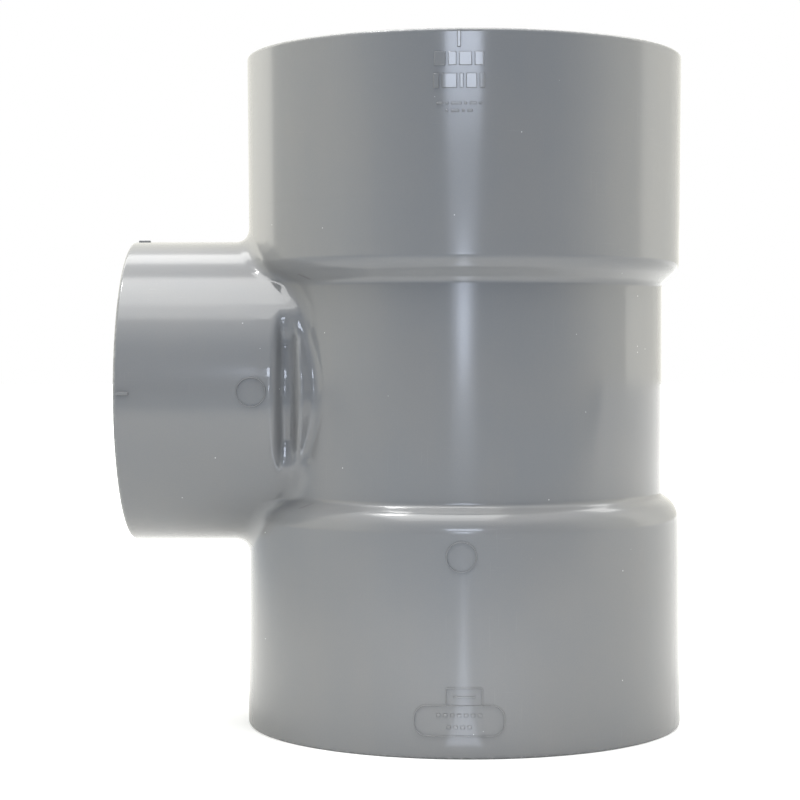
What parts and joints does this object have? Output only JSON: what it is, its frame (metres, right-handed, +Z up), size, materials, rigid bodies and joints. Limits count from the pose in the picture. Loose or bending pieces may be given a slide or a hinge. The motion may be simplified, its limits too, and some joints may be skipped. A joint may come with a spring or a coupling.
{
  "type": "pvc reducing tee",
  "caption": "Grey PVC pressure-pipe reducing tee: upright run with a solvent-weld socket at each end and a smaller socket on a side branch.",
  "frame": {"origin": "centre of the lower run socket's mouth, in the plane of the lower rim that the fitting stands on", "axes": "+Z up along the run's axis, -X along the branch towards its mouth, -Y towards the marked front"},
  "size_m": [0.2415, 0.1919, 0.293],
  "materials": {
    "pvc_body": "satin-gloss moulded dark grey PVC, faint flow marks and dust",
    "pvc_marks": "same PVC, polished by handling on the raised marks"
  },
  "bodies": {
    "root": {"upper_run_socket": "pvc_body", "lower_run_socket": "pvc_body", "upper_run_shoulder": "pvc_body", "lower_run_shoulder": "pvc_body", "run_barrel": "pvc_body", "branch_saddle": "pvc_body", "branch_socket": "pvc_body", "upper_saddle_fillet": "pvc_body", "lower_saddle_fillet": "pvc_body", "run_index_rib": "pvc_marks", "branch_index_ribs": "pvc_marks", "run_witness_ring": "pvc_marks", "branch_witness_ring": "pvc_marks", "size_mark_bars": "pvc_marks", "label_outline": "pvc_marks", "label_bars": "pvc_marks"}
  },
  "joints": []
}
